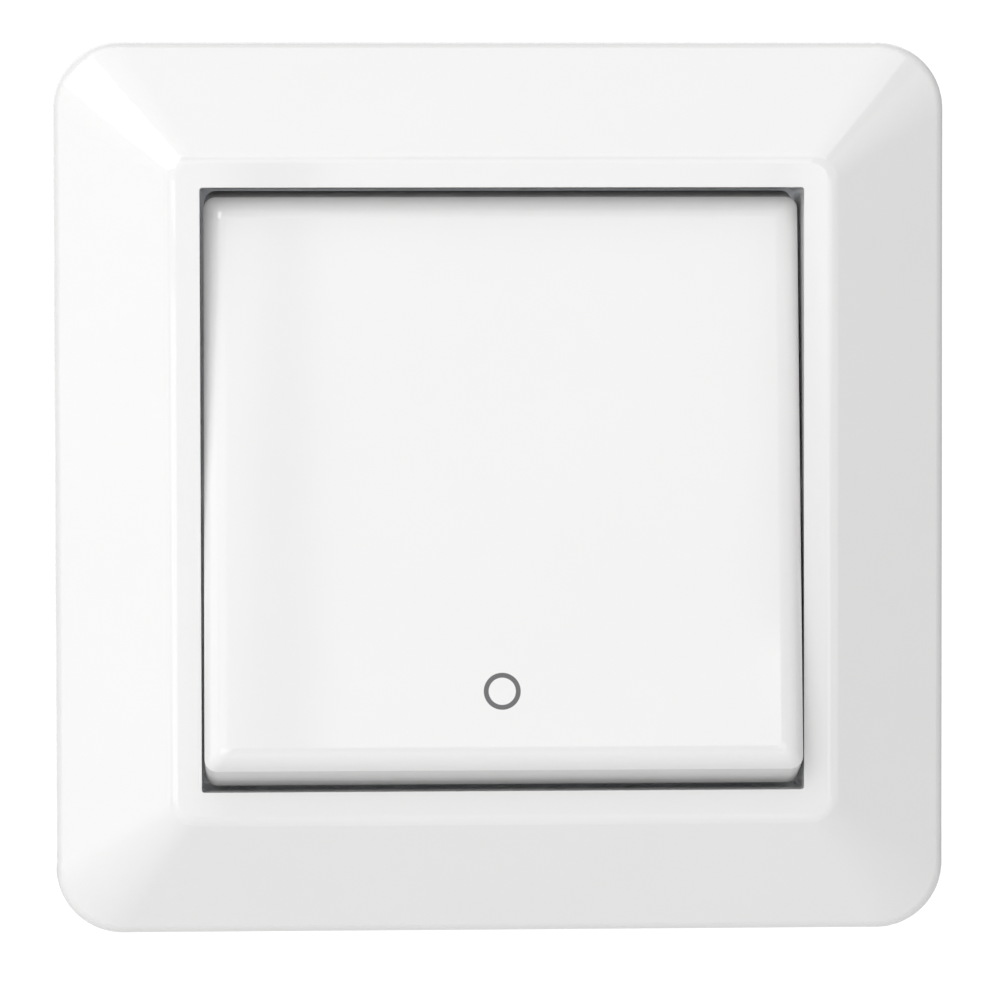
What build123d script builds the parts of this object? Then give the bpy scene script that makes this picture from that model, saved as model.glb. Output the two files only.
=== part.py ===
"""Flush-mounted two-pole rocker light switch, in millimetres.

X points right, Z points up and Y points into the wall. The origin is the middle of the
cover frame on the wall plane, so the front faces -Y and the mechanism lies at positive Y.
The model rests in the pose with the rocker pressed in at the top and the contacts closed.
"""

import os
from math import cos, radians, sin

from build123d import *

os.makedirs("parts", exist_ok=True)

# Cover frame
frame_size = 83.5
frame_depth = 11.0
frame_wall = 2.0
frame_corner = 6.2
frame_side_height = 4.5
shoulder_radius = 1.4
land_width = 2.75
ridge_corner = 2.2
ridge_radius = 2.0
opening_size = 55.9
opening_corner = 0.25
land_thickness = 2.0
collar_clearance = 0.05
collar_wall = 1.3
frame_rib = 1.0
frame_rib_spacing = 22.0
edge_tolerance = 0.01

# Rocker
rocker_gap = 0.25
rocker_corner = 1.15
rocker_face_corner = 0.5
rocker_rounding = 2.4
rocker_rounding_angle = 62.0
rocker_wall = 1.7
rocker_side_draft = 0.03
rocker_face_height = 7.4
rocker_lip_depth = 1.0
rocker_skirt_clearance = 0.4
rocker_face_rise = 0.4
rocker_lip_gap = 0.1
rocker_flare = 1.2
rest_tilt = 6.2
rounding_steps = 4

# Rocker carrier
carrier_width = 30.0
carrier_length = 16.0
carrier_bottom = 0.3
carrier_top = 3.4
hub_radius = 2.2
trunnion_radius = 1.5
trunnion_length = 2.4
barrel_radius = 3.1
barrel_end = 7.0
barrel_bore_depth = 8.8
snap_arm_width = 6.0
snap_arm_thickness = 1.4
snap_arm_spacing = 20.0
snap_nose = 0.6
snap_arm_end = 0.6
snap_clearance = 0.1
rocker_rib = 1.0
rocker_rib_height = 1.0

# Plungers and their springs
plunger_radius = 2.1
plunger_nose_radius = 1.5
plunger_guide_length = 4.4
plunger_gap = 0.2
running_fit = 0.05
spring_wire = 0.55
spring_turns = 3

# Contact levers
pole_spacing = 17.0
fulcrum_depth = 10.0
lever_swing = 10.0
lever_width = 6.0
lever_thickness = 1.0
lever_height = 3.5
lever_contact_arm = 11.2
lever_free_arm = 6.0
lever_cheek = 0.8
lever_cheek_length = 5.2
contact_arm = 9.5
contact_radius = 1.8
contact_thickness = 0.8
contact_gap = 0.05
rivet_radius = 0.9
rivet_head_radius = 1.2
rivet_head = 0.4
rivet_clearance = 0.02

# Terminals and wire clamps
strip_thickness = 1.0
strip_width = 5.2
blade_width = 7.0
strip_bend_radius = 1.0
pad_start_arm = 6.0
leg_overhang = 0.6
clamp_rise = 3.8
clamp_end_gap = 0.3
clamp_length = 4.8
clamp_width = 7.2
clamp_wall = 1.5
clamp_side_wall = 0.9
clamp_inner_wall = 1.2
wire_space = 3.5
clamp_screw_radius = 1.75
clamp_screw_head_radius = 2.8
clamp_screw_head = 1.8
clamp_screw_tip = 1.7
clamp_screw_rise = 0.6
screw_slot_width = 0.8
screw_slot_depth = 0.9

# Switch base
base_width = 45.0
base_height = 48.0
base_corner = 9.0
base_edge_radius = 0.8
chamber_width = 8.0
base_end_wall = 3.0
base_floor = 5.0
fulcrum_rise = 5.0
wire_hole_radius = 2.2
wire_funnel_radius = 3.2
core_width = 5.0
core_length = 30.0
core_depth = 13.0
side_core_width = 6.0
side_core_length = 20.0
screw_access_clearance = 0.4

# Mechanism cover
cover_screw_edge = 0.7
cover_chamber_overlap = 0.2
cover_plug_gap = 0.1
cover_flange_overlap = 1.9
cover_flange_thickness = 1.0
cover_corner = 2.0
cover_floor = 1.0
cover_recess_gap = 0.4
ear_thickness = 2.2
ear_gap = 0.15
ear_radius = 3.2
barrel_window_width = 7.2
barrel_window_height = 8.4
housing_screw_wall = 4.0
housing_screw_spacing_z = 32.0
housing_screw_radius = 1.4
housing_screw_head_radius = 2.5
housing_screw_head = 1.6
housing_screw_length = 12.0
thread_clearance = 0.05

# Support plate
plate_margin = 4.5
plate_corner = 4.0
plate_thickness = 1.2
plate_bead_width = 2.4
plate_bead_length = 26.0
plate_bead_height = 0.4
plate_bead_gap = 0.6
box_screw_spacing = 60.0
box_screw_hole_radius = 1.8
box_screw_head_space = 7.6
box_screw_head_height = 2.4
tab_spacing = 32.0
tab_width = 8.0
tab_height = 4.4
tab_gap = 0.2
catch_length = 5.0
catch_height = 0.9
catch_depth = 0.5
catch_rise = 2.4
catch_clearance = 0.15

# Worked out from the sizes above
tilt = radians(rest_tilt)
swing = radians(lever_swing)
collar_inner = opening_size + 2 * collar_clearance
collar_outer = collar_inner + 2 * collar_wall
ridge_size = opening_size + 2 * land_width
pivot_height = frame_depth + rocker_face_rise - rocker_face_height
rocker_width = opening_size - 2 * rocker_gap
rocker_lip_length = opening_size - 2 * rocker_lip_gap
skirt_reach = rocker_lip_length / 2 * sin(tilt) + plate_thickness + rocker_skirt_clearance
rocker_skirt_end = (skirt_reach - pivot_height) / cos(tilt)
rocker_lip_height = rocker_skirt_end + rocker_lip_depth
rounding_edge = radians(90 - rocker_rounding_angle)
rounding_start = rocker_face_height - rocker_rounding * (1 - sin(rounding_edge))
face_width = rocker_width - 2 * rocker_side_draft
face_length = rocker_lip_length - 2 * rocker_flare
rocker_underside = rocker_face_height - rocker_wall
lever_offset = lever_height + plunger_nose_radius
pivot_to_fulcrum = fulcrum_depth + pivot_height
plunger_reach = (pivot_to_fulcrum * cos(swing) - lever_offset) / cos(tilt + swing) - plunger_gap
plunger_top = barrel_end - plunger_guide_length
barrel_bore_top = barrel_bore_depth - barrel_end
barrel_bore_radius = plunger_radius + running_fit
moving_contact_face = lever_height - lever_thickness - contact_thickness
fixed_contact_face = moving_contact_face - contact_gap
pad_front = fixed_contact_face - contact_thickness
pad_middle = pad_front - strip_thickness / 2
chamber_depth = fulcrum_depth + fulcrum_rise
chamber_length = base_height - 2 * base_end_wall
base_depth = chamber_depth + base_floor
floor_strip_depth = chamber_depth - strip_thickness / 2
clamp_outer = chamber_length / 2 - clamp_end_gap
leg_outer = clamp_outer - clamp_wall - wire_space
leg_inner = leg_outer - strip_thickness
leg_height = leg_outer - strip_thickness / 2
wire_hole_height = leg_outer + wire_space / 2
clamp_front = fulcrum_depth - clamp_rise
leg_front = clamp_front - leg_overhang
clamp_middle_depth = clamp_front + clamp_length / 2
clamp_screw_end = leg_outer + clamp_screw_tip
clamp_screw_seat = clamp_outer + clamp_screw_rise
housing_screw_spacing_x = pole_spacing + chamber_width + 2 * housing_screw_wall
cover_plug_width = housing_screw_spacing_x + 2 * (housing_screw_radius + cover_screw_edge)
cover_plug_height = chamber_length + 2 * cover_chamber_overlap
cover_flange_width = cover_plug_width + 2 * cover_flange_overlap
cover_flange_height = cover_plug_height + 2 * cover_flange_overlap
plate_size = frame_size - 2 * (frame_wall + plate_margin)
bead_spacing = cover_flange_width + plate_bead_width + 2 * plate_bead_gap
pole_places = {"left": -pole_spacing / 2, "right": pole_spacing / 2}

# Workplanes. The rocker's own plane is tilted about the trunnions, with its height
# measured outwards from their axis. Each lever has a like plane at its fulcrum.
front_plane = Plane.XZ
rocker_plane = Plane(origin=(0, -pivot_height, 0), x_dir=(1, 0, 0), z_dir=(0, -cos(tilt), sin(tilt)))


def lever_plane(pole_x):
    """The tilted plane of a closed contact lever, with its origin on the fulcrum line."""
    return Plane(origin=(pole_x, fulcrum_depth, 0), x_dir=(1, 0, 0), z_dir=(0, -cos(swing), -sin(swing)))


def side_plane(x):
    """A plane across the switch at x, with depth along its first axis and height along its second."""
    return Plane.YZ.offset(x)


def finish(piece, name):
    """Label a finished piece and write it to its own file."""
    piece.part.label = name
    export_step(piece.part, f"parts/{name}.step")


# Cover frame: the hollow behind the land and the sloping band, less its collar and ribs
with BuildPart() as frame_hollow:
    with BuildSketch(front_plane):
        RectangleRounded(frame_size - 2 * frame_wall, frame_size - 2 * frame_wall, frame_corner - frame_wall)
    extrude(amount=frame_side_height - frame_wall / 2)
    with BuildSketch(front_plane.offset(frame_side_height - frame_wall / 2)):
        RectangleRounded(frame_size - 2 * frame_wall, frame_size - 2 * frame_wall, frame_corner - frame_wall)
    with BuildSketch(front_plane.offset(frame_depth - land_thickness)):
        RectangleRounded(ridge_size, ridge_size, ridge_corner)
    loft(ruled=True)
    with BuildSketch(front_plane.offset(plate_thickness)):
        RectangleRounded(collar_outer, collar_outer, opening_corner + collar_clearance + collar_wall)
    extrude(amount=frame_depth, mode=Mode.SUBTRACT)
    with BuildSketch(front_plane.offset(plate_thickness + frame_rib)):
        with Locations((-frame_rib_spacing / 2, 0), (frame_rib_spacing / 2, 0)):
            Rectangle(frame_rib, frame_size)
        with Locations((0, -frame_rib_spacing / 2), (0, frame_rib_spacing / 2)):
            Rectangle(frame_size, frame_rib)
    extrude(amount=frame_depth, mode=Mode.SUBTRACT)

# Cover frame: one moulding, open behind, that rests on the wall by its rim
with BuildPart() as cover_frame:
    with BuildSketch(front_plane):
        RectangleRounded(frame_size, frame_size, frame_corner)
    extrude(amount=frame_side_height)
    with BuildSketch(front_plane.offset(frame_side_height)):
        RectangleRounded(frame_size, frame_size, frame_corner)
    with BuildSketch(front_plane.offset(frame_depth)):
        RectangleRounded(ridge_size, ridge_size, ridge_corner)
    loft(ruled=True)
    shoulder_edges = cover_frame.edges().filter_by_position(
        Axis.Y, -frame_side_height - edge_tolerance, -frame_side_height + edge_tolerance
    )
    fillet(shoulder_edges, shoulder_radius)
    ridge_edges = cover_frame.faces().sort_by(Axis.Y)[0].edges()
    fillet(ridge_edges, ridge_radius)
    add(frame_hollow.part, mode=Mode.SUBTRACT)
    with BuildSketch(front_plane):
        RectangleRounded(collar_outer, collar_outer, opening_corner + collar_clearance + collar_wall)
    extrude(amount=plate_thickness, mode=Mode.SUBTRACT)
    with BuildSketch(front_plane):
        RectangleRounded(collar_inner, collar_inner, opening_corner + collar_clearance)
    extrude(amount=frame_depth - land_thickness, mode=Mode.SUBTRACT)
    with BuildSketch(front_plane):
        RectangleRounded(opening_size, opening_size, opening_corner)
    extrude(amount=frame_depth, mode=Mode.SUBTRACT)
    # Room for the heads of the two box screws
    with BuildSketch(front_plane):
        with Locations((-box_screw_spacing / 2, 0), (box_screw_spacing / 2, 0)):
            Rectangle(box_screw_head_space, box_screw_head_space)
    extrude(amount=plate_thickness + box_screw_head_height, mode=Mode.SUBTRACT)
    # Catch ridges that snap into the tabs of the support plate
    with BuildSketch(front_plane.offset(plate_thickness + catch_rise - catch_height / 2)):
        with GridLocations(collar_outer + catch_depth, tab_spacing, 2, 2):
            Rectangle(catch_depth, catch_length)
    extrude(amount=catch_height)
finish(cover_frame, "cover_frame")


# Rocker: a moulded shell, its face rounded towards a crisp edge and its skirts flared at top and bottom
def rounding_section(step):
    """Height, inset and corner radius of one section through the rounding of the rocker's face."""
    angle = rounding_edge + radians(rocker_rounding_angle * step / rounding_steps)
    inset = rocker_rounding * (cos(rounding_edge) - cos(angle))
    corner = rocker_corner + (rocker_face_corner - rocker_corner) * step / rounding_steps
    return rocker_face_height - rocker_rounding * (1 - sin(angle)), inset, corner


with BuildPart() as rocker_button:
    with BuildSketch(rocker_plane.offset(rocker_skirt_end)):
        RectangleRounded(rocker_width, rocker_lip_length, rocker_corner)
    extrude(amount=rocker_lip_height - rocker_skirt_end)
    with BuildSketch(rocker_plane.offset(rocker_lip_height)):
        RectangleRounded(rocker_width, rocker_lip_length, rocker_corner)
    with BuildSketch(rocker_plane.offset(rounding_start)):
        RectangleRounded(face_width, face_length, rocker_corner)
    loft(ruled=True)
    for step in range(rounding_steps + 1):
        height, inset, corner = rounding_section(step)
        with BuildSketch(rocker_plane.offset(height)):
            RectangleRounded(face_width - 2 * inset, face_length - 2 * inset, corner)
    loft()
    # Hollow behind the face
    with BuildSketch(rocker_plane.offset(rocker_skirt_end)):
        RectangleRounded(rocker_width - 2 * rocker_wall, rocker_lip_length - 2 * rocker_wall, rocker_corner / 2)
    with BuildSketch(rocker_plane.offset(rocker_underside)):
        RectangleRounded(face_width - 2 * rocker_wall, face_length - 2 * rocker_wall, rocker_corner / 2)
    loft(ruled=True, mode=Mode.SUBTRACT)
    # Ribs under the face, and taller ones that seat on the carrier
    with BuildSketch(rocker_plane.offset(rocker_underside - rocker_rib_height)):
        with Locations((-snap_arm_spacing / 2, 0), (snap_arm_spacing / 2, 0)):
            Rectangle(rocker_rib, face_length - 2 * rocker_wall)
        with Locations((0, -carrier_length), (0, carrier_length)):
            Rectangle(face_width - 2 * rocker_wall, rocker_rib)
    extrude(amount=rocker_rib_height)
    with BuildSketch(rocker_plane.offset(carrier_top)):
        with Locations((-snap_arm_spacing / 2, 0), (snap_arm_spacing / 2, 0)):
            Rectangle(rocker_rib, carrier_length)
    extrude(amount=rocker_underside - carrier_top)
    # Snap arms that clip over the carrier, with noses under its edge
    arm_middle = carrier_length / 2 + snap_clearance + snap_arm_thickness / 2
    nose_middle = carrier_length / 2 + snap_clearance - snap_nose / 2
    with BuildSketch(rocker_plane.offset(-snap_arm_end)):
        with GridLocations(snap_arm_spacing, 2 * arm_middle, 2, 2):
            Rectangle(snap_arm_width, snap_arm_thickness)
    extrude(amount=rocker_underside + snap_arm_end)
    with BuildSketch(rocker_plane.offset(-snap_arm_end)):
        with GridLocations(snap_arm_spacing, 2 * nose_middle, 2, 2):
            Rectangle(snap_arm_width, snap_nose)
    extrude(amount=snap_arm_end + carrier_bottom - snap_clearance)
finish(rocker_button, "rocker_button")

# Rocker carrier: tilts in the mechanism cover on two trunnions and holds the plungers
with BuildPart() as rocker_carrier:
    with BuildSketch(rocker_plane.offset(carrier_bottom)):
        RectangleRounded(carrier_width, carrier_length, plunger_nose_radius)
    extrude(amount=carrier_top - carrier_bottom)
    with BuildSketch(side_plane(-carrier_width / 2)):
        with Locations((-pivot_height, 0)):
            Circle(hub_radius)
    extrude(amount=carrier_width)
    with BuildSketch(side_plane(-carrier_width / 2 - trunnion_length)):
        with Locations((-pivot_height, 0)):
            Circle(trunnion_radius)
    extrude(amount=carrier_width + 2 * trunnion_length)
    with BuildSketch(rocker_plane.offset(-barrel_end)):
        with Locations((-pole_spacing / 2, 0), (pole_spacing / 2, 0)):
            Circle(barrel_radius)
    extrude(amount=barrel_end + carrier_top)
    with BuildSketch(rocker_plane.offset(-barrel_end)):
        with Locations((-pole_spacing / 2, 0), (pole_spacing / 2, 0)):
            Circle(barrel_bore_radius)
    extrude(amount=barrel_bore_depth, mode=Mode.SUBTRACT)
finish(rocker_carrier, "rocker_carrier")


# Plungers: turned pins with a round nose, one in each barrel
def make_plunger(pole_x):
    """A plunger, revolved about its own axis in the rocker's plane."""
    axis_plane = Plane(
        origin=rocker_plane.from_local_coords((pole_x, 0, 0)), x_dir=(1, 0, 0), z_dir=rocker_plane.y_dir
    )
    nose_start = barrel_end + plunger_gap
    with BuildPart() as plunger:
        with BuildSketch(axis_plane):
            with BuildLine():
                Polyline(
                    (0, plunger_top),
                    (plunger_radius, plunger_top),
                    (plunger_radius, nose_start),
                    (plunger_nose_radius, nose_start),
                    (plunger_nose_radius, plunger_reach),
                )
                RadiusArc(
                    (plunger_nose_radius, plunger_reach),
                    (0, plunger_reach + plunger_nose_radius),
                    -plunger_nose_radius,
                )
                Line((0, plunger_reach + plunger_nose_radius), (0, plunger_top))
            make_face()
        revolve(axis=Axis(axis_plane.origin, axis_plane.y_dir))
    return plunger


# Plunger springs: wound from round wire, between the barrel's bottom and the plunger
def make_spring(pole_x):
    """A compression spring in its barrel, its round wire drawn as six-sided."""
    spring_radius = plunger_radius - spring_wire
    spring_length = plunger_top + barrel_bore_top - spring_wire
    spring_foot = rocker_plane.from_local_coords((pole_x, 0, -plunger_top + spring_wire / 2))
    with BuildPart() as spring:
        with BuildLine():
            wire_path = Helix(
                spring_length / spring_turns,
                spring_length,
                spring_radius,
                center=spring_foot,
                direction=rocker_plane.z_dir,
            )
        with BuildSketch(Plane(origin=wire_path @ 0, z_dir=wire_path % 0)):
            RegularPolygon(spring_wire / 2, 6)
        sweep(path=wire_path, is_frenet=True)
    return spring


# Contact levers: folded brass, with two cheeks that sit astride the fulcrum
def make_contact_lever(pole_x):
    """A contact lever in its closed position."""
    plane = lever_plane(pole_x)
    web_underside = lever_height - lever_thickness
    web_middle = (lever_free_arm - lever_contact_arm) / 2
    with BuildPart() as lever:
        with BuildSketch(plane.offset(web_underside)):
            with Locations((0, web_middle)):
                RectangleRounded(lever_width, lever_contact_arm + lever_free_arm, lever_cheek)
            with Locations((0, -contact_arm)):
                Circle(rivet_radius + rivet_clearance, mode=Mode.SUBTRACT)
        extrude(amount=lever_thickness)
        with BuildSketch(plane):
            with Locations((-(lever_width - lever_cheek) / 2, 0), ((lever_width - lever_cheek) / 2, 0)):
                Rectangle(lever_cheek, lever_cheek_length)
        extrude(amount=web_underside)
        with BuildSketch(side_plane(pole_x - lever_width / 2)):
            with Locations((fulcrum_depth, 0)):
                Circle(strip_thickness / 2 + running_fit)
        extrude(amount=lever_width, mode=Mode.SUBTRACT)
    return lever


# Silver contact rivets
def make_contact(pole_x, face, seat, tail):
    """A contact rivet with its wide face at one height and its upset tail at the other."""
    plane = lever_plane(pole_x)
    outward = 1 if seat > face else -1
    with BuildPart() as contact:
        with BuildSketch(plane.offset(face)):
            with Locations((0, -contact_arm)):
                Circle(contact_radius)
        extrude(amount=seat - face)
        with BuildSketch(plane.offset(seat)):
            with Locations((0, -contact_arm)):
                Circle(rivet_radius)
        extrude(amount=tail - seat)
        with BuildSketch(plane.offset(tail)):
            with Locations((0, -contact_arm)):
                Circle(rivet_head_radius)
        extrude(amount=outward * rivet_head)
    return contact


# Fulcrum terminals: bent strip from the upper clamp to the edge that carries the lever
def make_fulcrum_terminal(pole_x):
    """The supply strip, with a half-round edge under the lever's cheeks."""
    with BuildPart() as terminal:
        with BuildSketch(side_plane(pole_x)):
            with BuildLine():
                FilletPolyline(
                    (leg_front, leg_height),
                    (floor_strip_depth, leg_height),
                    (floor_strip_depth, lever_cheek_length),
                    radius=strip_bend_radius,
                )
            trace(line_width=strip_thickness)
        extrude(amount=strip_width / 2, both=True)
        with BuildSketch(side_plane(pole_x)):
            with BuildLine():
                FilletPolyline(
                    (floor_strip_depth, lever_cheek_length),
                    (floor_strip_depth, 0),
                    (fulcrum_depth, 0),
                    radius=strip_bend_radius,
                )
            trace(line_width=strip_thickness)
            with Locations((fulcrum_depth, 0)):
                Circle(strip_thickness / 2)
        extrude(amount=blade_width / 2, both=True)
    return terminal


def pad_point(arm):
    """Depth and height of the middle of the output strip, under the lever at this arm."""
    depth = fulcrum_depth - pad_middle * cos(swing) + arm * sin(swing)
    height = -pad_middle * sin(swing) - arm * cos(swing)
    return depth, height


# Output terminals: bent strip from under the lever's contact to the lower clamp
def make_output_terminal(pole_x):
    """The output strip, tilted with the closed lever and bent forwards into its clamp."""
    leg_arm = (leg_height - pad_middle * sin(swing)) / cos(swing)
    with BuildPart() as terminal:
        with BuildSketch(side_plane(pole_x)):
            with BuildLine():
                FilletPolyline(
                    pad_point(pad_start_arm),
                    pad_point(leg_arm),
                    (leg_front, -leg_height),
                    radius=strip_bend_radius,
                )
            trace(line_width=strip_thickness)
        extrude(amount=strip_width / 2, both=True)
        with BuildSketch(lever_plane(pole_x).offset(pad_front)):
            with Locations((0, -contact_arm)):
                Circle(rivet_radius + rivet_clearance)
        extrude(amount=-strip_thickness, mode=Mode.SUBTRACT)
    return terminal


# Wire clamps: steel cages round the terminal legs, with a thread in the outer wall
def make_wire_clamp(pole_x, side):
    """A cage clamp above (side 1) or below (side -1) the mechanism."""
    cage_height = clamp_outer - leg_inner + clamp_inner_wall
    cage_middle = side * (clamp_outer - cage_height / 2)
    window_height = wire_space + strip_thickness
    window_middle = side * (leg_inner + window_height / 2)
    with BuildPart() as clamp:
        with BuildSketch(front_plane.offset(-clamp_front)):
            with Locations((pole_x, cage_middle)):
                RectangleRounded(clamp_width, cage_height, clamp_side_wall)
            with Locations((pole_x, window_middle)):
                Rectangle(clamp_width - 2 * clamp_side_wall, window_height, mode=Mode.SUBTRACT)
        extrude(amount=-clamp_length)
        with BuildSketch(Plane.XY.offset(side * leg_outer)):
            with Locations((pole_x, clamp_middle_depth)):
                Circle(clamp_screw_radius + thread_clearance)
        extrude(amount=side * (clamp_outer - leg_outer), mode=Mode.SUBTRACT)
    return clamp


for side_name, pole_x in pole_places.items():
    finish(make_plunger(pole_x), f"plunger_{side_name}")
    finish(make_spring(pole_x), f"plunger_spring_{side_name}")
    finish(make_contact_lever(pole_x), f"contact_lever_{side_name}")
    finish(
        make_contact(pole_x, moving_contact_face, lever_height - lever_thickness, lever_height),
        f"moving_contact_{side_name}",
    )
    finish(
        make_contact(pole_x, fixed_contact_face, pad_front, pad_front - strip_thickness),
        f"fixed_contact_{side_name}",
    )
    finish(make_fulcrum_terminal(pole_x), f"fulcrum_terminal_{side_name}")
    finish(make_output_terminal(pole_x), f"output_terminal_{side_name}")
    finish(make_wire_clamp(pole_x, 1), f"wire_clamp_top_{side_name}")
    finish(make_wire_clamp(pole_x, -1), f"wire_clamp_bottom_{side_name}")

# Clamp screws: four alike, driven from above and below
with BuildPart() as clamp_screws:
    for pole_x in pole_places.values():
        for side in (1, -1):
            with BuildSketch(Plane.XY.offset(side * clamp_screw_end)):
                with Locations((pole_x, clamp_middle_depth)):
                    Circle(clamp_screw_radius)
            extrude(amount=side * (clamp_screw_seat - clamp_screw_end))
            with BuildSketch(Plane.XY.offset(side * clamp_screw_seat)):
                with Locations((pole_x, clamp_middle_depth)):
                    Circle(clamp_screw_head_radius)
            extrude(amount=side * clamp_screw_head)
            with BuildSketch(Plane.XY.offset(side * (clamp_screw_seat + clamp_screw_head))):
                with Locations((pole_x, clamp_middle_depth)):
                    Rectangle(2 * clamp_screw_head_radius, screw_slot_width)
            extrude(amount=-side * screw_slot_depth, mode=Mode.SUBTRACT)
finish(clamp_screws, "clamp_screws")

# Switch base: moulded body with a deep chamber for each pole
with BuildPart() as switch_base:
    with BuildSketch(front_plane):
        Rectangle(base_width, base_height)
        chamfer(vertices(), base_corner)
    extrude(amount=-base_depth)
    fillet(switch_base.faces().sort_by(Axis.Y)[-1].edges(), base_edge_radius)
    with BuildSketch(front_plane):
        with GridLocations(pole_spacing, 0, 2, 1):
            RectangleRounded(chamber_width, chamber_length, strip_bend_radius / 2)
    extrude(amount=-chamber_depth, mode=Mode.SUBTRACT)
    # Seats behind the tilted pads of the output terminals
    for pole_x in pole_places.values():
        back_of_pad = pad_middle - strip_thickness / 2
        seat_arms = (pad_start_arm, contact_arm + rivet_head_radius + lever_cheek)
        with BuildSketch(side_plane(pole_x)):
            with BuildLine():
                corners = []
                for arm in seat_arms:
                    depth = fulcrum_depth - back_of_pad * cos(swing) + arm * sin(swing)
                    height = -back_of_pad * sin(swing) - arm * cos(swing)
                    corners.append((depth, height))
                Polyline(
                    corners[0],
                    corners[1],
                    (chamber_depth, corners[1][1]),
                    (chamber_depth, corners[0][1]),
                    close=True,
                )
            make_face()
        extrude(amount=chamber_width / 2, both=True)
        with BuildSketch(lever_plane(pole_x).offset(back_of_pad)):
            with Locations((0, -contact_arm)):
                Circle(rivet_head_radius + thread_clearance)
        extrude(amount=-rivet_head - thread_clearance, mode=Mode.SUBTRACT)
    # Wire entries, funnelled at the back
    for pole_x in pole_places.values():
        for side in (1, -1):
            with BuildSketch(front_plane.offset(-chamber_depth)):
                with Locations((pole_x, side * wire_hole_height)):
                    Circle(wire_hole_radius)
            with BuildSketch(front_plane.offset(-base_depth)):
                with Locations((pole_x, side * wire_hole_height)):
                    Circle(wire_funnel_radius)
            loft(mode=Mode.SUBTRACT)
            with BuildSketch(Plane.XY.offset(side * chamber_length / 2)):
                with Locations((pole_x, clamp_middle_depth)):
                    Circle(clamp_screw_head_radius + screw_access_clearance)
            extrude(amount=side * base_height / 2, mode=Mode.SUBTRACT)
    # Cores that keep the walls even
    with BuildSketch(front_plane.offset(-base_depth)):
        RectangleRounded(core_width, core_length, strip_bend_radius)
        with GridLocations(housing_screw_spacing_x, 0, 2, 1):
            RectangleRounded(side_core_width, side_core_length, strip_bend_radius)
    extrude(amount=core_depth, mode=Mode.SUBTRACT)
    with BuildSketch(front_plane):
        with GridLocations(housing_screw_spacing_x, housing_screw_spacing_z, 2, 2):
            Circle(housing_screw_radius + thread_clearance)
    extrude(amount=-housing_screw_length, mode=Mode.SUBTRACT)
finish(switch_base, "switch_base")

# Mechanism cover: closes the chambers through the plate and carries the trunnions
with BuildPart() as mechanism_cover:
    with BuildSketch(front_plane):
        RectangleRounded(cover_plug_width, cover_plug_height, cover_corner)
    extrude(amount=plate_thickness)
    with BuildSketch(front_plane.offset(plate_thickness)):
        RectangleRounded(cover_flange_width, cover_flange_height, cover_corner)
    extrude(amount=cover_flange_thickness)
    recess_width = carrier_width + 2 * ear_gap
    with BuildSketch(front_plane.offset(cover_floor)):
        Rectangle(recess_width, carrier_length + 2 * (cover_recess_gap + snap_arm_thickness + snap_clearance))
    extrude(amount=plate_thickness, mode=Mode.SUBTRACT)
    with BuildSketch(front_plane):
        with GridLocations(pole_spacing, 0, 2, 1):
            RectangleRounded(barrel_window_width, barrel_window_height, strip_bend_radius)
    extrude(amount=cover_floor, mode=Mode.SUBTRACT)
    # Bearing ears for the trunnions
    ear_middle = recess_width / 2 + ear_thickness / 2
    for side in (1, -1):
        with BuildSketch(side_plane(side * ear_middle)):
            with Locations((-pivot_height, 0)):
                Circle(ear_radius)
            with Locations((-pivot_height / 2, 0)):
                Rectangle(pivot_height, 2 * ear_radius)
        extrude(amount=ear_thickness / 2, both=True)
    with BuildSketch(side_plane(-cover_flange_width / 2)):
        with Locations((-pivot_height, 0)):
            Circle(trunnion_radius + running_fit)
    extrude(amount=cover_flange_width, mode=Mode.SUBTRACT)
    with BuildSketch(front_plane):
        with GridLocations(housing_screw_spacing_x, housing_screw_spacing_z, 2, 2):
            Circle(housing_screw_radius + thread_clearance)
    extrude(amount=frame_depth, mode=Mode.SUBTRACT)
finish(mechanism_cover, "mechanism_cover")

# Housing screws: four alike, that clamp the plate between cover and base
with BuildPart() as housing_screws:
    head_seat = plate_thickness + cover_flange_thickness
    with BuildSketch(front_plane.offset(head_seat)):
        with GridLocations(housing_screw_spacing_x, housing_screw_spacing_z, 2, 2):
            Circle(housing_screw_radius)
    extrude(amount=-head_seat - housing_screw_length + thread_clearance)
    with BuildSketch(front_plane.offset(head_seat)):
        with GridLocations(housing_screw_spacing_x, housing_screw_spacing_z, 2, 2):
            Circle(housing_screw_head_radius)
    extrude(amount=housing_screw_head)
    with BuildSketch(front_plane.offset(head_seat + housing_screw_head)):
        with GridLocations(housing_screw_spacing_x, housing_screw_spacing_z, 2, 2):
            Rectangle(housing_screw_head_radius, screw_slot_width)
            Rectangle(screw_slot_width, housing_screw_head_radius)
    extrude(amount=-screw_slot_depth, mode=Mode.SUBTRACT)
finish(housing_screws, "housing_screws")

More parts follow.
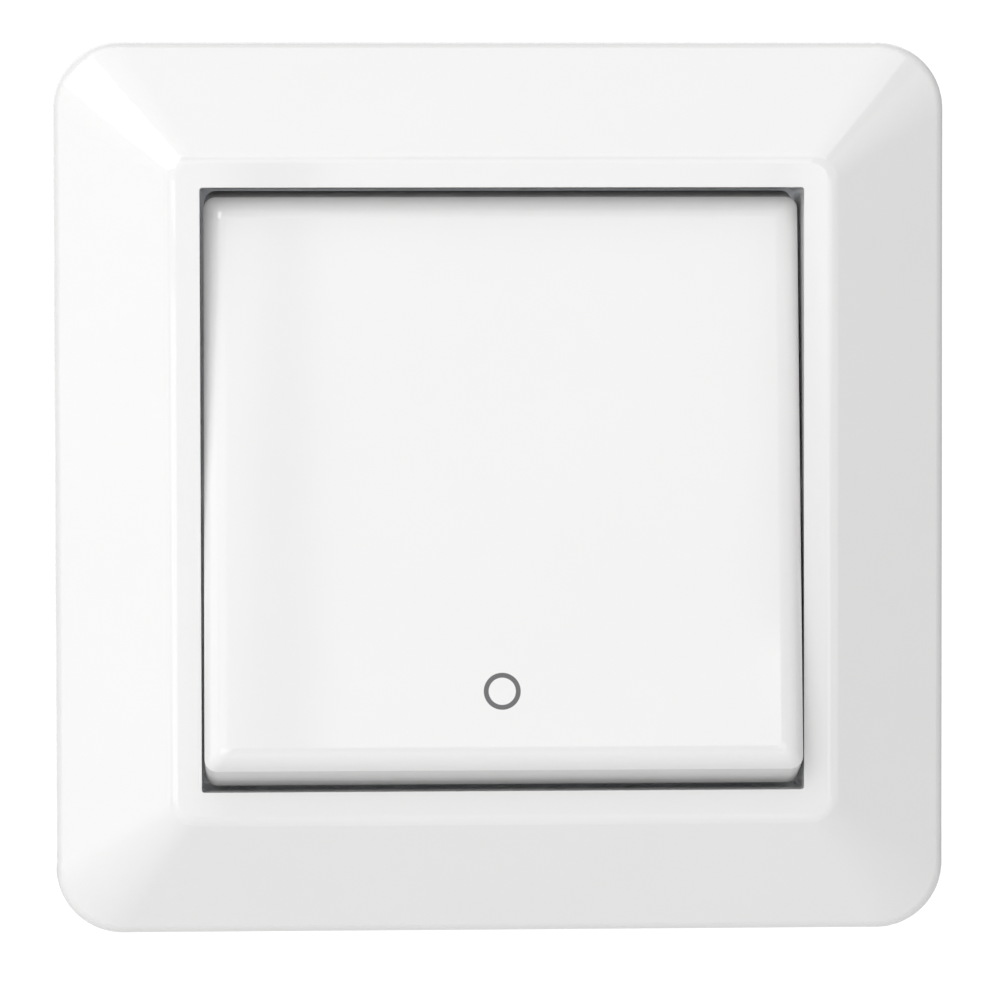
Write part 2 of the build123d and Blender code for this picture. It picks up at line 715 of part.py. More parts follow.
# Support plate: punched steel, with four tabs bent forward that hold the cover frame
with BuildPart() as support_plate:
    tab_inner = collar_outer / 2 + tab_gap
    with BuildSketch(front_plane):
        RectangleRounded(plate_size, plate_size, plate_corner)
        RectangleRounded(
            cover_plug_width + 2 * cover_plug_gap,
            cover_plug_height + 2 * cover_plug_gap,
            cover_corner,
            mode=Mode.SUBTRACT,
        )
        with GridLocations(box_screw_spacing, 0, 2, 1):
            Circle(box_screw_hole_radius, mode=Mode.SUBTRACT)
        # Notches that the tabs' metal was cut from
        with GridLocations(plate_size, tab_spacing, 2, 2):
            Rectangle(plate_size - 2 * tab_inner, tab_width, mode=Mode.SUBTRACT)
    extrude(amount=plate_thickness)
    with BuildSketch(front_plane):
        with GridLocations(2 * tab_inner + plate_thickness, tab_spacing, 2, 2):
            Rectangle(plate_thickness, tab_width)
    extrude(amount=plate_thickness + tab_height)
    # Stiffening beads pressed forward on both sides of the mechanism
    with BuildSketch(front_plane):
        with GridLocations(bead_spacing, 0, 2, 1):
            SlotOverall(plate_bead_length, plate_bead_width, rotation=90)
    extrude(amount=plate_bead_height, mode=Mode.SUBTRACT)
    with BuildSketch(front_plane.offset(plate_thickness)):
        with GridLocations(bead_spacing, 0, 2, 1):
            SlotOverall(plate_bead_length, plate_bead_width, rotation=90)
    extrude(amount=plate_bead_height)
    with BuildSketch(front_plane.offset(plate_thickness + catch_rise - catch_height / 2 - catch_clearance)):
        with GridLocations(2 * tab_inner + plate_thickness, tab_spacing, 2, 2):
            Rectangle(2 * plate_thickness, catch_length + 2 * catch_clearance)
    extrude(amount=catch_height + 2 * catch_clearance, mode=Mode.SUBTRACT)
finish(support_plate, "support_plate")
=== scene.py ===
from math import cos, pi, radians, sin

import bmesh
import bpy
from mathutils import Matrix, Vector


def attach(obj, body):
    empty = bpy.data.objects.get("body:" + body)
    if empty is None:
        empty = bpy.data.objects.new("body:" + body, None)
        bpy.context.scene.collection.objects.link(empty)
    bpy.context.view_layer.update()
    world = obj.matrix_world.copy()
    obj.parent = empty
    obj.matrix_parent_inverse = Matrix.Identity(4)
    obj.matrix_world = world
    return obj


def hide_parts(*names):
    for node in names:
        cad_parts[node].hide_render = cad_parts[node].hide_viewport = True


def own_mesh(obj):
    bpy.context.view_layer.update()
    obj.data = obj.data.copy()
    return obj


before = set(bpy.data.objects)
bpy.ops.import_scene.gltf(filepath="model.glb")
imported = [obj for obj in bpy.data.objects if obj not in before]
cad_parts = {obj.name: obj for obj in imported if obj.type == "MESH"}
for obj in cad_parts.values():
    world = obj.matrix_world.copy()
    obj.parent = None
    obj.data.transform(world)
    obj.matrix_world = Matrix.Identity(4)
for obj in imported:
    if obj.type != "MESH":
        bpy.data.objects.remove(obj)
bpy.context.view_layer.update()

mm = 0.001


# Switch base: the body that sits in the wall box, moulded in one piece from light
# grey thermoset plastic, with a fine spark-eroded texture and round ejector marks.
class Value:
    """One output of a node. Sums, products and comparisons with it add Math nodes."""

    def __init__(self, finish, socket):
        self.finish = finish
        self.socket = socket

    def math(self, operation, *values):
        return self.finish.node("Math", {"operation": operation}, dict(enumerate(values)))

    def __add__(self, other):
        return self.math("ADD", self, other)

    def __radd__(self, other):
        return self.math("ADD", other, self)

    def __sub__(self, other):
        return self.math("SUBTRACT", self, other)

    def __mul__(self, other):
        return self.math("MULTIPLY", self, other)

    def __rmul__(self, other):
        return self.math("MULTIPLY", other, self)

    def __pow__(self, other):
        return self.math("POWER", self, other)

    def __lt__(self, other):
        return self.math("LESS_THAN", self, other)

    def __abs__(self):
        return self.math("ABSOLUTE", self)

    def step(self, low, high):
        """0 at low, 1 at high and smooth between."""
        sockets = {"Value": self, "From Min": low, "From Max": high}
        return self.finish.node("MapRange", {"interpolation_type": "SMOOTHSTEP"}, sockets)


class Finish:
    """A material made of nodes, which read the place on the piece at rest, in metres."""

    def __init__(self, name):
        self.material = bpy.data.materials.new(name)
        self.material.use_nodes = True
        self.tree = self.material.node_tree
        self.tree.nodes.clear()
        self.place = self.node("TexCoord", {}, {}, "Object")
        self.x, self.y, self.z = [
            self.node("SeparateXYZ", {}, {"Vector": self.place}, axis) for axis in "XYZ"
        ]

    def node(self, kind, settings, sockets, output=0):
        """Add one node: its type, its settings, then the values or links of its sockets."""
        added = self.tree.nodes.new("ShaderNode" + kind)
        for name, value in settings.items():
            setattr(added, name, value)
        for name, value in sockets.items():
            socket = self.in_use(added.inputs, name)
            if isinstance(value, Value):
                self.tree.links.new(value.socket, socket)
            else:
                socket.default_value = value
        return Value(self, self.in_use(added.outputs, output)) if added.outputs else None

    def in_use(self, sockets, name):
        """One of a node's sockets in use, by its number or name."""
        enabled = [s for s in sockets if s.enabled]
        return enabled[name] if isinstance(name, int) else [s for s in enabled if s.name == name][0]

    def noise(self, scale, detail=2.0, place=None):
        sockets = {"Vector": place or self.place, "Scale": scale, "Detail": detail}
        return self.node("TexNoise", {}, sockets)

    def grain(self, x, y, z, detail=2.0):
        """Noise that is finer along some axes than others, as rolling or brushing leaves."""
        stretched = self.node("VectorMath", {"operation": "MULTIPLY"}, {0: self.place, 1: (x, y, z)})
        return self.noise(1.0, detail, stretched)

    def colour(self, mask, low, high):
        """One colour where the mask is 0 and another where it is 1."""
        return self.node("Mix", {"data_type": "RGBA"}, {"Factor": mask, "A": low, "B": high})

    def disc(self, u, v, middle, radius, edge):
        """1 inside a circle and 0 outside it, from two lengths on the surface."""
        across = u - middle[0]
        along = v - middle[1]
        distance = (across * across + along * along) ** 0.5
        return distance.step(radius + edge, radius - edge)

    def relief(self, height, depth, edge_radius):
        """A normal from a height of 0 to 1 times the depth, with the piece's edges rounded."""
        rounded = self.node("Bevel", {"samples": 4}, {"Radius": edge_radius})
        return self.node("Bump", {}, {"Height": height, "Distance": depth, "Normal": rounded})

    def surface(self, **sockets):
        """The shader that ends the finish, its sockets named with _ for a space."""
        named = {name.replace("_", " "): value for name, value in sockets.items()}
        self.node("OutputMaterial", {}, {"Surface": self.node("BsdfPrincipled", {}, named)})

    def cover(self, *names):
        """Puts the finish on CAD nodes."""
        for name in names:
            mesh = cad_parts[name].data
            mesh.materials.clear()
            mesh.materials.append(self.material)


base_finish = Finish("base_thermoset")
texture = base_finish.noise(5200)
cloud = base_finish.noise(90, 3)
ejector_radius = 1.4 * mm
ejector_edge = 0.04 * mm
ejectors = 0
for u in (-13 * mm, 13 * mm):
    for v in (-17.5 * mm, 17.5 * mm):
        mark = base_finish.disc(base_finish.x, base_finish.z, (u, v), ejector_radius, ejector_edge)
        ejectors = mark + ejectors
base_finish.surface(
    Base_Color=base_finish.colour(cloud, (0.53, 0.54, 0.54, 1), (0.59, 0.60, 0.60, 1)),
    Roughness=0.40 + 0.14 * texture - 0.1 * ejectors,
    Normal=base_finish.relief(texture * 0.2 - ejectors, 0.05 * mm, 0.25 * mm),
)
base_finish.cover("switch_base")


# Terminals: four brass strips, cut and bent on a press, two that carry the contact
# levers and two under the fixed contacts. Rolling marks run along the strip.
brass = Finish("pressed_brass")
rolling = brass.grain(14000, 900, 900)
tarnish = brass.noise(260, 3)
brass.surface(
    Base_Color=brass.colour(tarnish, (0.70, 0.48, 0.19, 1), (0.86, 0.66, 0.32, 1)),
    Metallic=1.0,
    Roughness=0.22 + 0.14 * rolling + 0.08 * tarnish,
    Normal=brass.relief(rolling, 0.004 * mm, 0.12 * mm),
)
for side in ("left", "right"):
    brass.cover(f"fulcrum_terminal_{side}", f"output_terminal_{side}")


# Fixed contacts: silver rivets with a slightly domed face, headed over behind the
# output strips. The faces show fine turning rings and a grey mark from switching.
pole_spacing = 17 * mm
fulcrum = Vector((0, 10 * mm, 0))
lever_swing = radians(10)
lever_out = Vector((0, -cos(lever_swing), -sin(lever_swing)))
lever_up = Vector((0, -sin(lever_swing), cos(lever_swing)))
contact_arm = 9.5 * mm
contact_radius = 1.8 * mm
contact_dome = 0.14 * mm
rivet_radius = 0.9 * mm
rivet_head_radius = 1.2 * mm
rivet_steps = 40
poles = {"left": -pole_spacing / 2, "right": pole_spacing / 2}


def turned(profile, steps):
    """Vertices and faces of a profile of radius and height, turned about Z and closed."""
    points = [Vector((0, 0, profile[0][1]))]
    rings = []
    for radius, height in profile:
        rings.append(range(len(points), len(points) + steps))
        points += [
            Vector((radius * cos(2 * pi * i / steps), radius * sin(2 * pi * i / steps), height))
            for i in range(steps)
        ]
    points.append(Vector((0, 0, profile[-1][1])))
    faces = []
    for i in range(steps):
        j = (i + 1) % steps
        faces.append((0, rings[0][j], rings[0][i]))
        for low, high in zip(rings, rings[1:]):
            faces.append((low[i], low[j], high[j], high[i]))
        faces.append((len(points) - 1, rings[-1][i], rings[-1][j]))
    return points, faces


def as_mesh(name, points, faces):
    """A smooth mesh with its corners kept sharp."""
    mesh = bpy.data.meshes.new(name)
    mesh.from_pydata(points, [], faces)
    mesh.validate()
    mesh.polygons.foreach_set("use_smooth", [True] * len(mesh.polygons))
    mesh.set_sharp_from_angle(angle=radians(38))
    return mesh


def as_piece(name, mesh, finish, body, node):
    """A modelled piece that stands for a CAD node and moves with its body."""
    mesh.materials.append(finish.material)
    piece = bpy.data.objects.new(name, mesh)
    bpy.context.scene.collection.objects.link(piece)
    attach(piece, body)
    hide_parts(node)
    return piece


silver = Finish("silver_contact")
rings = silver.noise(3800, 1)
mark = silver.noise(900, 3).step(0.5, 0.75)
silver.surface(
    Base_Color=silver.colour(mark, (0.90, 0.89, 0.86, 1), (0.62, 0.61, 0.60, 1)),
    Metallic=1.0,
    Roughness=0.16 + 0.1 * rings + 0.2 * mark,
    Normal=silver.relief(rings, 0.004 * mm, 0.08 * mm),
)


def contact_profile(face, seat, tail):
    """A rivet from its domed face, over its edge and shank, to its headed tail."""
    way = 1 if tail > face else -1
    dome = [
        (contact_radius * t, face + way * contact_dome * t * t) for t in (0.25, 0.5, 0.7, 0.85, 0.95)
    ]
    return dome + [
        (contact_radius, face + way * 0.22 * mm),
        (contact_radius, seat - way * 0.08 * mm),
        (contact_radius - 0.08 * mm, seat),
        (rivet_radius, seat),
        (rivet_radius, tail),
        (rivet_head_radius, tail + way * 0.04 * mm),
        (rivet_head_radius, tail + way * 0.2 * mm),
        (rivet_head_radius * 0.8, tail + way * 0.36 * mm),
        (rivet_head_radius * 0.3, tail + way * 0.4 * mm),
    ]


def add_contact(kind, side, body, heights):
    """One rivet, its heights taken from the fulcrum outwards: face, seat and tail."""
    points, faces = turned(contact_profile(*heights), rivet_steps)
    middle = fulcrum + Vector((poles[side], 0, 0)) - contact_arm * lever_up
    to_lever = Matrix((Vector((1, 0, 0)), lever_up, lever_out)).transposed()
    placed = [middle + to_lever @ p for p in points]
    if heights[1] < heights[0]:
        faces = [tuple(reversed(f)) for f in faces]
    mesh = as_mesh(f"{kind}_rivet_{side}", placed, faces)
    as_piece(f"{kind}_rivet_{side}", mesh, silver, body, f"{kind}_{side}")


for side in poles:
    add_contact("fixed_contact", side, "housing", (1.65 * mm, 0.85 * mm, -0.15 * mm))


# Wire clamps: four cages of zinc-plated steel round the terminal legs. The plating is
# bluish and dull, with a rough band where each cage was sheared off.
plated = Finish("zinc_plated_steel")
patches = plated.noise(380, 3)
scratches = plated.grain(700, 9000, 2600)
plated.surface(
    Base_Color=plated.colour(patches, (0.54, 0.57, 0.62, 1), (0.68, 0.70, 0.73, 1)),
    Metallic=1.0,
    Roughness=0.27 + 0.14 * scratches,
    Normal=plated.relief(scratches, 0.006 * mm, 0.12 * mm),
)
for side in poles:
    plated.cover(f"wire_clamp_top_{side}", f"wire_clamp_bottom_{side}")


# Clamp screws: four alike, turned from free-cutting steel and plated, with a rolled
# thread, a chamfered tip and a slotted cheese head. Each presses a wire on its leg.
clamp_screw_radius = 1.75 * mm
clamp_screw_pitch = 0.6 * mm
clamp_screw_thread = 0.3 * mm
clamp_screw_tip = 0.5 * mm
tip_slope = 0.7
clamp_screw_end = 17.4 * mm
clamp_screw_seat = 3.9 * mm
clamp_screw_depth = 8.6 * mm
cheese_head_radius = 2.8 * mm
cheese_head_height = 1.8 * mm
slot_width = 0.8 * mm
slot_depth = 0.9 * mm
merge_distance = 0.002 * mm
screw_steel = Finish("plated_screw_steel")
lathe = screw_steel.noise(5200, 2)
wear = screw_steel.noise(700, 3)
screw_steel.surface(
    Base_Color=screw_steel.colour(wear, (0.60, 0.60, 0.58, 1), (0.76, 0.75, 0.72, 1)),
    Metallic=1.0,
    Roughness=0.20 + 0.16 * lathe,
    Normal=screw_steel.relief(lathe, 0.004 * mm, 0.06 * mm),
)


def screw_mesh(name, radius, pitch, thread, tip, tail, head):
    """A screw along Z: its thread from 0 to tail, pointed over tip, then its head's profile."""
    steps = 24
    rows_a_turn = 4
    heights = rows_a_turn * (int(tail / pitch) + 2)
    points = []
    columns = []
    for i in range(steps):
        angle = 2 * pi * i / steps
        column = []
        for row in range(-rows_a_turn, heights + 1):
            height = min(max(pitch * (row / rows_a_turn + i / steps), 0), tail)
            ramp = abs((height / pitch - i / steps) % 1 - 0.5) * 2
            reach = radius - thread * ramp - max(0, tip - height) * tip_slope
            column.append(len(points))
            points.append(Vector((reach * cos(angle), reach * sin(angle), height)))
        for out, height in head:
            column.append(len(points))
            points.append(Vector((out * cos(angle), out * sin(angle), height)))
        columns.append(column)
    faces = [tuple(column[0] for column in reversed(columns)), tuple(column[-1] for column in columns)]
    for i in range(steps):
        here = columns[i]
        there = columns[(i + 1) % steps]
        turn = rows_a_turn if i == steps - 1 else 0
        last = len(here) - len(head) - 1
        for row in range(len(here) - 1):
            low = min(row + turn, last) if row <= last else row
            high = min(row + 1 + turn, last) if row + 1 <= last else row + 1
            faces.append((here[row], there[low], there[high], here[row + 1]))
    return cleaned(name, points, faces)


def cleaned(name, points, faces):
    """A mesh with the points that fall together merged and the empty faces dropped."""
    mesh = bpy.data.meshes.new(name)
    mesh.from_pydata(points, [], faces)
    shell = bmesh.new()
    shell.from_mesh(mesh)
    bmesh.ops.remove_doubles(shell, verts=shell.verts, dist=merge_distance)
    bmesh.ops.dissolve_degenerate(shell, edges=shell.edges, dist=merge_distance / 2)
    bmesh.ops.recalc_face_normals(shell, faces=shell.faces)
    shell.to_mesh(mesh)
    shell.free()
    return mesh


def box_mesh(size, middle):
    """A closed box, used only to cut a slot."""
    corners = [(x, y, z) for x in (-0.5, 0.5) for y in (-0.5, 0.5) for z in (-0.5, 0.5)]
    points = [Vector(middle) + Vector([s * c for s, c in zip(size, corner)]) for corner in corners]
    faces = [(0, 1, 3, 2), (4, 6, 7, 5), (0, 4, 5, 1), (2, 3, 7, 6), (0, 2, 6, 4), (1, 5, 7, 3)]
    return cleaned("cutter", points, faces)


def cut(mesh, cutters):
    """The mesh with each cutter taken out of it."""
    body = bpy.data.objects.new("cut", mesh)
    bpy.context.scene.collection.objects.link(body)
    tools = []
    for cutter in cutters:
        tool = bpy.data.objects.new("cutter", cutter)
        bpy.context.scene.collection.objects.link(tool)
        change = body.modifiers.new("slot", "BOOLEAN")
        change.object = tool
        change.solver = "EXACT"
        tools.append(tool)
    result = bpy.data.meshes.new_from_object(body.evaluated_get(bpy.context.evaluated_depsgraph_get()))
    for thing in [body] + tools:
        bpy.data.objects.remove(thing)
    return result


def head_profile(radius, seat, height, edge):
    """The profile of a head, from its seat over its rounded edge to its top."""
    return [
        (radius - edge / 2, seat),
        (radius, seat + edge / 2),
        (radius, seat + height - edge),
        (radius - edge * 0.3, seat + height - edge * 0.3),
        (radius - edge, seat + height),
    ]


def add_screw(name, mesh, to_place, node):
    """One screw, put in its place in the housing."""
    mesh.transform(to_place)
    mesh.polygons.foreach_set("use_smooth", [True] * len(mesh.polygons))
    mesh.set_sharp_from_angle(angle=radians(35))
    as_piece(name, mesh, screw_steel, "housing", node)


cheese_head = head_profile(cheese_head_radius, clamp_screw_seat, cheese_head_height, 0.3 * mm)
head_top = (0, 0, clamp_screw_seat + cheese_head_height)
clamp_screw_slot = box_mesh((6 * mm, slot_width, 2 * slot_depth), head_top)
for side, x in poles.items():
    for end, up in (("top", 1), ("bottom", -1)):
        mesh = screw_mesh(
            f"clamp_screw_{end}_{side}",
            clamp_screw_radius,
            clamp_screw_pitch,
            clamp_screw_thread,
            clamp_screw_tip,
            clamp_screw_seat,
            cheese_head,
        )
        mesh = cut(mesh, [clamp_screw_slot])
        mesh.name = f"clamp_screw_{end}_{side}"
        turned_round = Matrix.Rotation(0 if up > 0 else pi, 4, "X")
        place = Matrix.Translation((x, clamp_screw_depth, up * clamp_screw_end)) @ turned_round
        add_screw(mesh.name, mesh, place, "clamp_screws")


# Contact levers: two brass levers that rock on the half-round edges of their
# terminals. They are the same strip as the terminals.
for side in poles:
    brass.cover(f"contact_lever_{side}")


# Moving contacts: the same silver rivets as the fixed ones, facing them and headed
# over on the front of each lever.
for side in poles:
    add_contact("moving_contact", side, f"contact_lever_{side}", (1.7 * mm, 2.5 * mm, 3.5 * mm))


# Support plate: punched from galvanised sheet, with tabs bent forward for the cover
# frame and beads that stiffen it. The zinc shows faint spangles and rolling streaks.
sheet_zinc = Finish("galvanised_sheet")
streak = sheet_zinc.grain(450, 5200, 8200)
spangle = sheet_zinc.node("TexVoronoi", {}, {"Vector": sheet_zinc.place, "Scale": 420.0}, "Color")
cells = sheet_zinc.node("SeparateXYZ", {}, {"Vector": spangle}, "X")
sheet_zinc.surface(
    Base_Color=sheet_zinc.colour(cells, (0.56, 0.58, 0.61, 1), (0.66, 0.68, 0.70, 1)),
    Metallic=1.0,
    Roughness=0.26 + 0.10 * streak + 0.06 * cells,
    Normal=sheet_zinc.relief(streak, 0.005 * mm, 0.1 * mm),
)
sheet_zinc.cover("support_plate")


# Mechanism cover: moulded from the same thermoset as the base, a shade lighter, with
# ears that carry the rocker's trunnions.
cover_finish = Finish("cover_thermoset")
texture = cover_finish.noise(4300)
flow = cover_finish.grain(60, 60, 240, 3)
cover_finish.surface(
    Base_Color=cover_finish.colour(flow, (0.60, 0.61, 0.60, 1), (0.66, 0.66, 0.65, 1)),
    Roughness=0.38 + 0.14 * texture,
    Normal=cover_finish.relief(texture, 0.008 * mm, 0.2 * mm),
)
cover_finish.cover("mechanism_cover")


# Housing screws: four self-tapping screws with a coarse thread, a point and a cross
# recess, driven from the front through the cover and the plate into the base.
housing_screw_end = 11.95 * mm
housing_screw_seat = 2.2 * mm
housing_screw_radius = 1.4 * mm
housing_screw_pitch = 1.2 * mm
housing_screw_thread = 0.35 * mm
housing_screw_tip = 1.2 * mm
pan_head_radius = 2.5 * mm
pan_head_height = 1.6 * mm
recess_length = 2.5 * mm
shank = housing_screw_end + housing_screw_seat
pan_head = head_profile(pan_head_radius, shank, pan_head_height, 0.7 * mm)
arms = [(recess_length, slot_width, 2 * slot_depth), (slot_width, recess_length, 2 * slot_depth)]
for side, x in (("left", -16.5 * mm), ("right", 16.5 * mm)):
    for end, z in (("top", 16 * mm), ("bottom", -16 * mm)):
        mesh = screw_mesh(
            "housing_screw",
            housing_screw_radius,
            housing_screw_pitch,
            housing_screw_thread,
            housing_screw_tip,
            shank,
            pan_head,
        )
        mesh = cut(mesh, [box_mesh(arm, (0, 0, shank + pan_head_height)) for arm in arms])
        place = Matrix.Translation((x, housing_screw_end, z)) @ Matrix.Rotation(pi / 2, 4, "X")
        mesh.name = f"housing_screw_{end}_{side}"
        add_screw(mesh.name, mesh, place, "housing_screws")


# Rocker carrier: moulded in off-white nylon, with the trunnions and the two barrels
# of the plungers. It has a satin skin with flow lines from the gate.
carrier_finish = Finish("off_white_nylon")
satin = carrier_finish.noise(3600)
gate_flow = carrier_finish.grain(220, 60, 60, 3)
carrier_finish.surface(
    Base_Color=carrier_finish.colour(gate_flow, (0.68, 0.68, 0.64, 1), (0.75, 0.75, 0.71, 1)),
    Roughness=0.36 + 0.12 * satin,
    Normal=carrier_finish.relief(satin, 0.006 * mm, 0.2 * mm),
)
carrier_finish.cover("rocker_carrier")


# Plungers: turned from natural acetal, waxy and a little yellow, polished at the
# nose by the lever that it slides on.
tilt = radians(6.2)
pivot = Vector((0, -4 * mm, 0))
face_out = Vector((0, -cos(tilt), sin(tilt)))
acetal = Finish("natural_acetal")
wax = acetal.noise(1500, 2)
lengthwise = acetal.grain(500, 4200, 500)
polish = (acetal.y - 3.4 * mm).step(0, 1.2 * mm)
acetal.surface(
    Base_Color=acetal.colour(wax, (0.62, 0.58, 0.46, 1), (0.69, 0.65, 0.53, 1)),
    Roughness=0.34 + 0.1 * lengthwise - 0.14 * polish,
    Normal=acetal.relief(lengthwise, 0.004 * mm, 0.1 * mm),
)
for side in poles:
    acetal.cover(f"plunger_{side}")


# Plunger springs: wound from round music wire with both ends closed, and held between
# the bottom of the barrel and the plunger, which squeezes them as it slides in.
spring_wire = 0.55 * mm
coil_radius = 1.55 * mm
spring_low = -2.6 * mm
spring_high = 1.8 * mm
spring_travel = spring_high - spring_low - spring_wire
spring_turns = 5
closed_turns = 0.8
closed_pitch = 1.03 * spring_wire / spring_travel
stops_a_turn = 20
wire_sides = 8
wire_finish = Finish("drawn_spring_wire")
drawing = wire_finish.noise(4200, 2)
oil = wire_finish.noise(600, 2)
wire_finish.surface(
    Base_Color=wire_finish.colour(oil, (0.36, 0.36, 0.37, 1), (0.52, 0.52, 0.53, 1)),
    Metallic=1.0,
    Roughness=0.24 + 0.14 * drawing,
    Normal=wire_finish.relief(drawing, 0.004 * mm, 0.05 * mm),
)


def spring_height(turn):
    """How far along its length the wire is after some turns, from 0 to 1."""
    if turn < closed_turns:
        return turn * closed_pitch
    if turn > spring_turns - closed_turns:
        return 1 - (spring_turns - turn) * closed_pitch
    open_rise = 1 - 2 * closed_turns * closed_pitch
    open_share = (turn - closed_turns) / (spring_turns - 2 * closed_turns)
    return closed_turns * closed_pitch + open_rise * open_share


for side, x in poles.items():
    across = Vector((1, 0, 0))
    along = face_out
    other = along.cross(across)
    foot = pivot + Vector((x, 0, 0)) + along * (spring_low + spring_wire / 2)
    points = []
    faces = []
    stops = spring_turns * stops_a_turn
    for i in range(stops + 1):
        turn = i / stops_a_turn
        rise = spring_travel * spring_height(turn)
        outward = across * cos(2 * pi * turn) + other * sin(2 * pi * turn)
        for k in range(wire_sides):
            angle = 2 * pi * k / wire_sides
            offset = outward * cos(angle) + along * sin(angle)
            points.append(foot + along * rise + outward * coil_radius + offset * spring_wire / 2)
        if i:
            for k in range(wire_sides):
                a = (i - 1) * wire_sides + k
                b = (i - 1) * wire_sides + (k + 1) % wire_sides
                faces.append((a, b, b + wire_sides, a + wire_sides))
    faces.append(tuple(reversed(range(wire_sides))))
    faces.append(tuple(range(stops * wire_sides, (stops + 1) * wire_sides)))
    mesh = cleaned(f"wound_spring_{side}", points, faces)
    mesh.polygons.foreach_set("use_smooth", [True] * len(mesh.polygons))
    mesh.set_sharp_from_angle(angle=radians(50))
    spring = as_piece(
        f"wound_spring_{side}", mesh, wire_finish, "rocker", f"plunger_spring_{side}"
    )
    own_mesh(spring)


# Cover frame: injection moulded from high-gloss white plastic and snapped on the tabs
# of the plate. The skin is polished, with the very slight waviness of a moulding.
white_low = (0.80, 0.797, 0.795, 1)
white_high = (0.82, 0.817, 0.815, 1)
gloss_white = Finish("gloss_white_plastic")
wave = gloss_white.noise(700, 1)
batch = gloss_white.noise(60, 2)
gloss_white.surface(
    Base_Color=gloss_white.colour(batch, white_low, white_high),
    Roughness=0.05 + 0.02 * wave,
    IOR=1.72,
    Normal=gloss_white.relief(wave, 0.0004 * mm, 0.12 * mm),
)
gloss_white.cover("cover_frame")


# Rocker: the same gloss plastic, clipped on the carrier. A small ring is pad-printed
# near its lower edge, in dark grey ink that is a little duller than the plastic.
ring_middle = (-0.23 * mm, -19.4 * mm)
ring_radius = 1.48 * mm
ring_stroke = 0.45 * mm
ink = (0.11, 0.11, 0.115, 1)
printed_white = Finish("gloss_white_with_ring")
wave = printed_white.noise(700, 1)
batch = printed_white.noise(60, 2)
along = printed_white.z * cos(tilt) + (printed_white.y - pivot.y) * sin(tilt)
across = printed_white.x - ring_middle[0]
down = along - ring_middle[1]
from_stroke = abs((across * across + down * down) ** 0.5 - ring_radius) - ring_stroke / 2
ring = from_stroke.step(0.03 * mm, -0.03 * mm) * (printed_white.y < -8 * mm)
plastic = printed_white.colour(batch, white_low, white_high)
printed_white.surface(
    Base_Color=printed_white.colour(ring, plastic, ink),
    Roughness=0.05 + 0.02 * wave + 0.2 * ring,
    IOR=1.72,
    Normal=printed_white.relief(wave + ring, 0.0004 * mm, 0.12 * mm),
)
printed_white.cover("rocker_button")


# Camera: the photo's, half a metre in front of the wall with a long lens, a little to
# the left of the switch and above it. Its small turn is an axis times an angle in degrees.
focal_pixels = 4925.8
picture_width = 1000
sensor_width = 36
camera_turn = Vector((2.08, -0.16, 2.43))
camera_place = (-0.0196, -0.4662, 0.0161)
scene = bpy.context.scene
camera = bpy.data.objects.new("photo_camera", bpy.data.cameras.new("photo_camera"))
camera.data.sensor_width = sensor_width
camera.data.lens = sensor_width * focal_pixels / picture_width
camera.data.clip_start = 0.01
facing = Matrix.Rotation(radians(camera_turn.length), 3, camera_turn.normalized()).transposed()
upright = Matrix.Rotation(pi / 2, 3, "X")
camera.matrix_world = Matrix.Translation(camera_place) @ (facing @ upright).to_4x4()
scene.collection.objects.link(camera)
scene.camera = camera


# Studio: white surroundings and soft boxes on all sides, the strongest of them at the
# upper left, with a pale floor below. The camera sees the surroundings as plain white.
scene.view_settings.view_transform = "Standard"
world = bpy.data.worlds.new("studio")
world.use_nodes = True
scene.world = world
backdrop = world.node_tree.nodes["Background"]
backdrop.inputs["Color"].default_value = (1, 1, 1, 1)
seen = world.node_tree.nodes.new("ShaderNodeLightPath")
level = world.node_tree.nodes.new("ShaderNodeMapRange")
level.inputs["To Min"].default_value = 0.372
level.inputs["To Max"].default_value = 1.05
world.node_tree.links.new(seen.outputs["Is Camera Ray"], level.inputs["Value"])
world.node_tree.links.new(level.outputs["Result"], backdrop.inputs["Strength"])


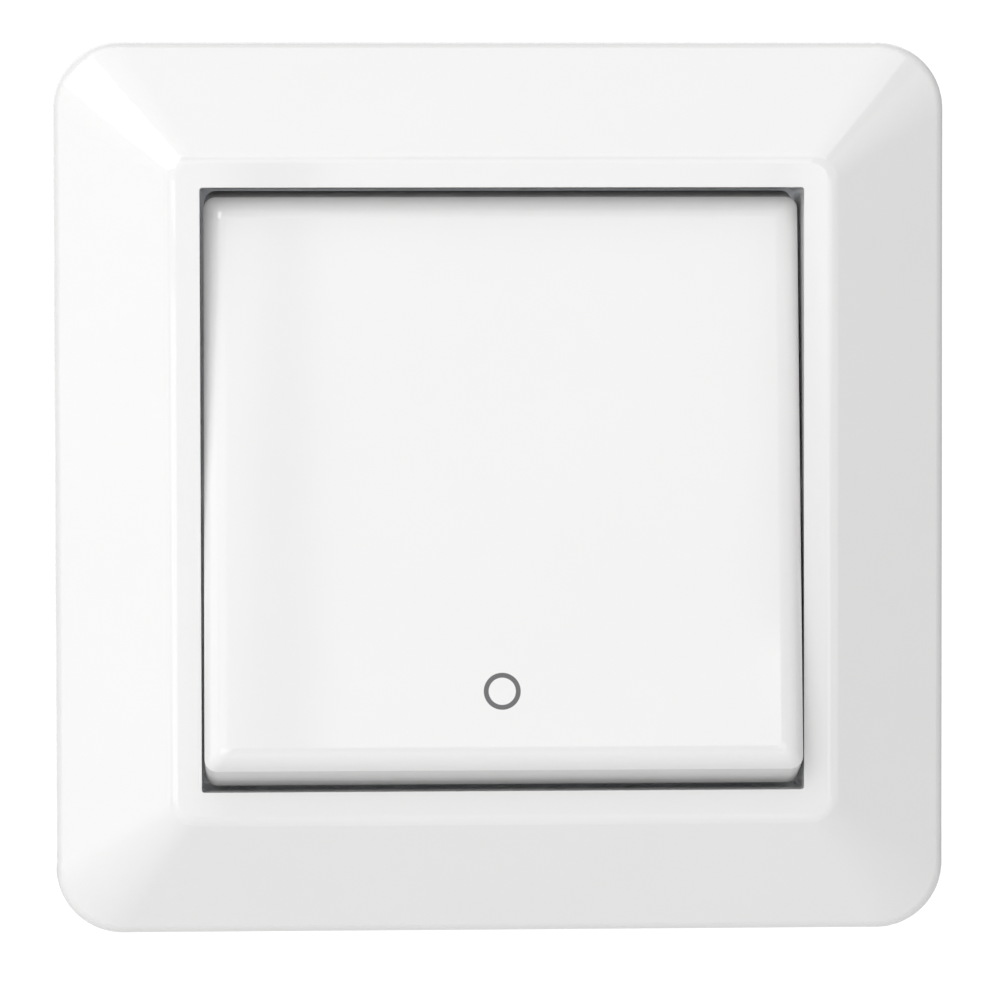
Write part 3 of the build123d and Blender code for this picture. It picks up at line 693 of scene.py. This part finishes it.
def soft_box(name, place, size, brightness, roll=0):
    """An area light that faces the switch, with its brightness as radiance."""
    lamp = bpy.data.lights.new(name, "AREA")
    lamp.shape = "RECTANGLE"
    lamp.size, lamp.size_y = size
    lamp.energy = brightness * pi * size[0] * size[1]
    light = bpy.data.objects.new(name, lamp)
    place = Vector(place)
    aimed = place.to_track_quat("Z", "Y").to_matrix() @ Matrix.Rotation(radians(roll), 3, "Z")
    light.matrix_world = Matrix.Translation(place) @ aimed.to_4x4()
    light.visible_camera = False
    scene.collection.objects.link(light)


soft_box("key", (-0.52, -0.67, 0.52), (0.5, 0.5), 2.9)
soft_box("front_left", (-0.35, -1, 0.16), (0.67, 0.75), 0.86)
soft_box("front_right", (0.054, -1, 0.28), (0.138, 0.5), 0.87)
soft_box("right_strip", (0.157, -1, 0.0), (0.04, 0.28), 1.3, 7)
soft_box("low_left", (-0.33, -1, -0.18), (0.4, 0.42), 0.92)
soft_box("low_right", (0.38, -1, -0.15), (0.35, 0.5), 0.72)
soft_box("above", (0, -0.52, 0.85), (1.2, 0.8), 0.96)
soft_box("left", (-0.87, -0.48, 0.09), (0.75, 1.1), 0.9)
soft_box("right", (0.84, -0.54, 0.09), (0.75, 1.1), 0.35)
soft_box("behind", (-0.25, 0.9, 0.45), (1.6, 1.4), 0.9)


floor_reach = 1.3
floor_height = -0.25
floor_steps = 64
floor_mesh = bpy.data.meshes.new("floor")
angles = [2 * pi * i / floor_steps for i in range(floor_steps)]
rim = [(floor_reach * cos(a), floor_reach * sin(a), 0) for a in angles]
floor_mesh.from_pydata(rim, [], [range(floor_steps)])
floor = bpy.data.objects.new("floor", floor_mesh)
floor.location.z = floor_height
scene.collection.objects.link(floor)
pale = Finish("pale_floor")
soft = pale.noise(30, 2)
from_middle = (pale.x * pale.x + pale.y * pale.y) ** 0.5
pale.surface(
    Base_Color=pale.colour(soft, (0.86, 0.86, 0.86, 1), (0.90, 0.90, 0.90, 1)),
    Roughness=0.9,
    Alpha=from_middle.step(floor_reach, 0.4 * floor_reach),
)
floor_mesh.materials.append(pale.material)
